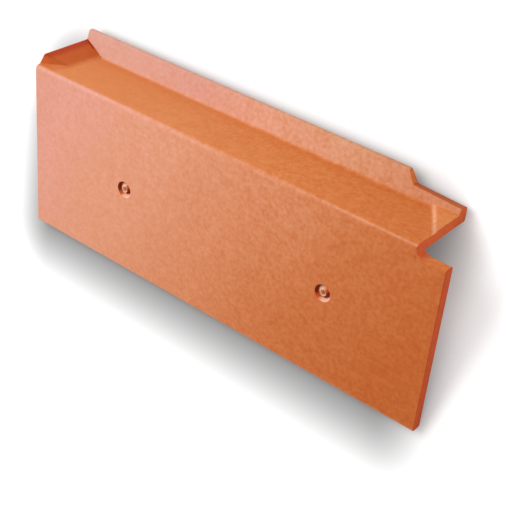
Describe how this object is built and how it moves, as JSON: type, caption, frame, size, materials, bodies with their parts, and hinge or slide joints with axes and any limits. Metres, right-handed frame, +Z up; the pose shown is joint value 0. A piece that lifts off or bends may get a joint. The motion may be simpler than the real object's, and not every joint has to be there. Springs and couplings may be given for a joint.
{
  "type": "clay verge tile",
  "caption": "Angle-shaped fired clay verge tile: a tall apron with nail holes hangs over the roof's edge, and a narrow flange with a back rim forms a gutter.",
  "frame": {"origin": "centre of the bounding box at floor level, with the tile lying on the inner edge of its hem and the lower back edge of its flange", "axes": "+X along the tile from its head end to its lower end, +Y from the hem of the apron to the rim, +Z up from the floor"},
  "size_m": [0.4, 0.1766, 0.0632],
  "materials": {
    "fired_clay": "matte unglazed terracotta with a fine sandy grain"
  },
  "bodies": {
    "root": {"verge_tile": "fired_clay"}
  },
  "joints": []
}
